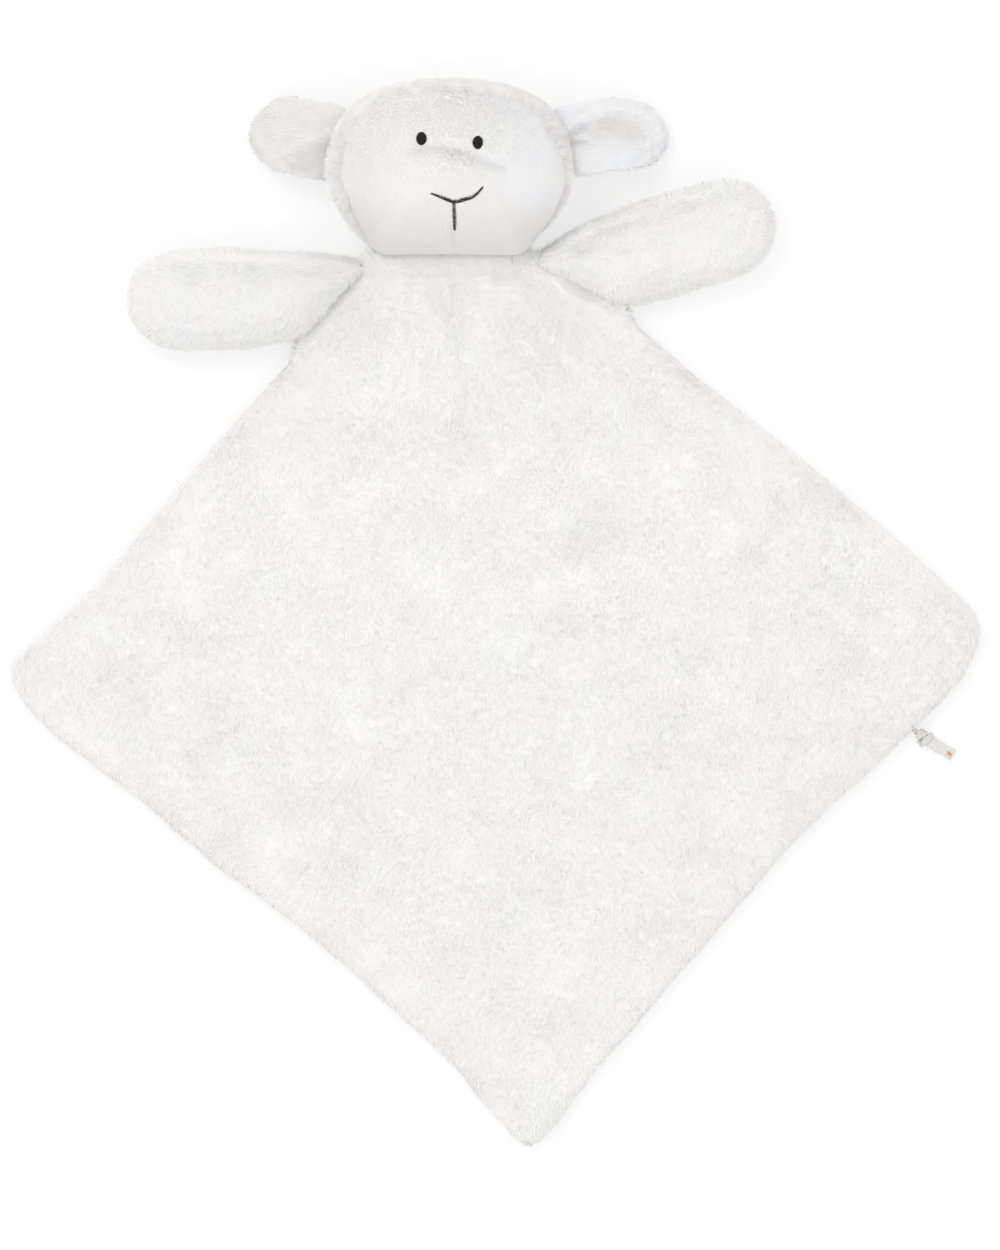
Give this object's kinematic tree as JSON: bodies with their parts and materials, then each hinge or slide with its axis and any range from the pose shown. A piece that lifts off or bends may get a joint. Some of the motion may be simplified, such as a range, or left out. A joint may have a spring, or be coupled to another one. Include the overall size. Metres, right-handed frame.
{
  "type": "plush comfort blanket",
  "caption": "Flat kite-shaped plush baby comforter with a stuffed lamb head, floppy ears, stuffed arms and a knotted ribbon tag.",
  "frame": {"origin": "middle of the blanket's flat underside, which lies on the table", "axes": "+Y runs up the blanket to the head, +Z out of the face, +X to the right when the face looks at the viewer"},
  "size_m": [0.3918, 0.4291, 0.0563],
  "materials": {
    "plush_pile": "long soft brushed pile",
    "face_velour": "short smooth velour",
    "fibre_stuffing": "loose matt fibre fill",
    "black_thread": "satin embroidery thread",
    "white_ribbon": "thin translucent woven ribbon"
  },
  "bodies": {
    "blanket": {"blanket_front_panel": "plush_pile", "blanket_back_panel": "plush_pile"},
    "head": {"head_face_panel": "face_velour", "head_back_left": "plush_pile", "head_back_right": "plush_pile", "head_stuffing": "fibre_stuffing", "left_eye": "black_thread", "right_eye": "black_thread", "mouth_lip_stitch": "black_thread", "mouth_stem_stitch": "black_thread"},
    "left_ear": {"left_ear_front": "face_velour", "left_ear_back": "plush_pile"},
    "right_ear": {"right_ear_front": "face_velour", "right_ear_back": "plush_pile"},
    "left_arm": {"left_arm_front": "plush_pile", "left_arm_back": "plush_pile", "left_arm_stuffing": "fibre_stuffing"},
    "right_arm": {"right_arm_front": "plush_pile", "right_arm_back": "plush_pile", "right_arm_stuffing": "fibre_stuffing"},
    "ribbon": {"ribbon_tag": "white_ribbon"}
  },
  "joints": [
    {"name": "neck_seam", "type": "hinge", "parent": "blanket", "child": "head", "pos_m": [-0.0182, 0.1747, 0.00395], "axis": [1, 0, 0], "range_deg": [-75, 40]},
    {"name": "left_ear_seam", "type": "hinge", "parent": "head", "child": "left_ear", "pos_m": [-0.06801, 0.22581, 0.022], "axis": [0.2798, 0.9601, 0], "range_deg": [-70, 95]},
    {"name": "right_ear_seam", "type": "hinge", "parent": "head", "child": "right_ear", "pos_m": [0.03161, 0.22581, 0.022], "axis": [0.2798, -0.9601, 0], "range_deg": [-70, 95]},
    {"name": "left_arm_seam", "type": "hinge", "parent": "blanket", "child": "left_arm", "pos_m": [-0.05887, 0.15974, 0.00395], "axis": [0.6561, 0.7547, 0], "range_deg": [-50, 50]},
    {"name": "right_arm_seam", "type": "hinge", "parent": "blanket", "child": "right_arm", "pos_m": [0.02868, 0.16533, 0.00395], "axis": [0.891, -0.454, 0], "range_deg": [-50, 50]},
    {"name": "ribbon_seam", "type": "hinge", "parent": "blanket", "child": "ribbon", "pos_m": [0.1653, -0.00749, 0.00395], "axis": [-0.7072, -0.707, 0], "range_deg": [-75, 90]}
  ]
}
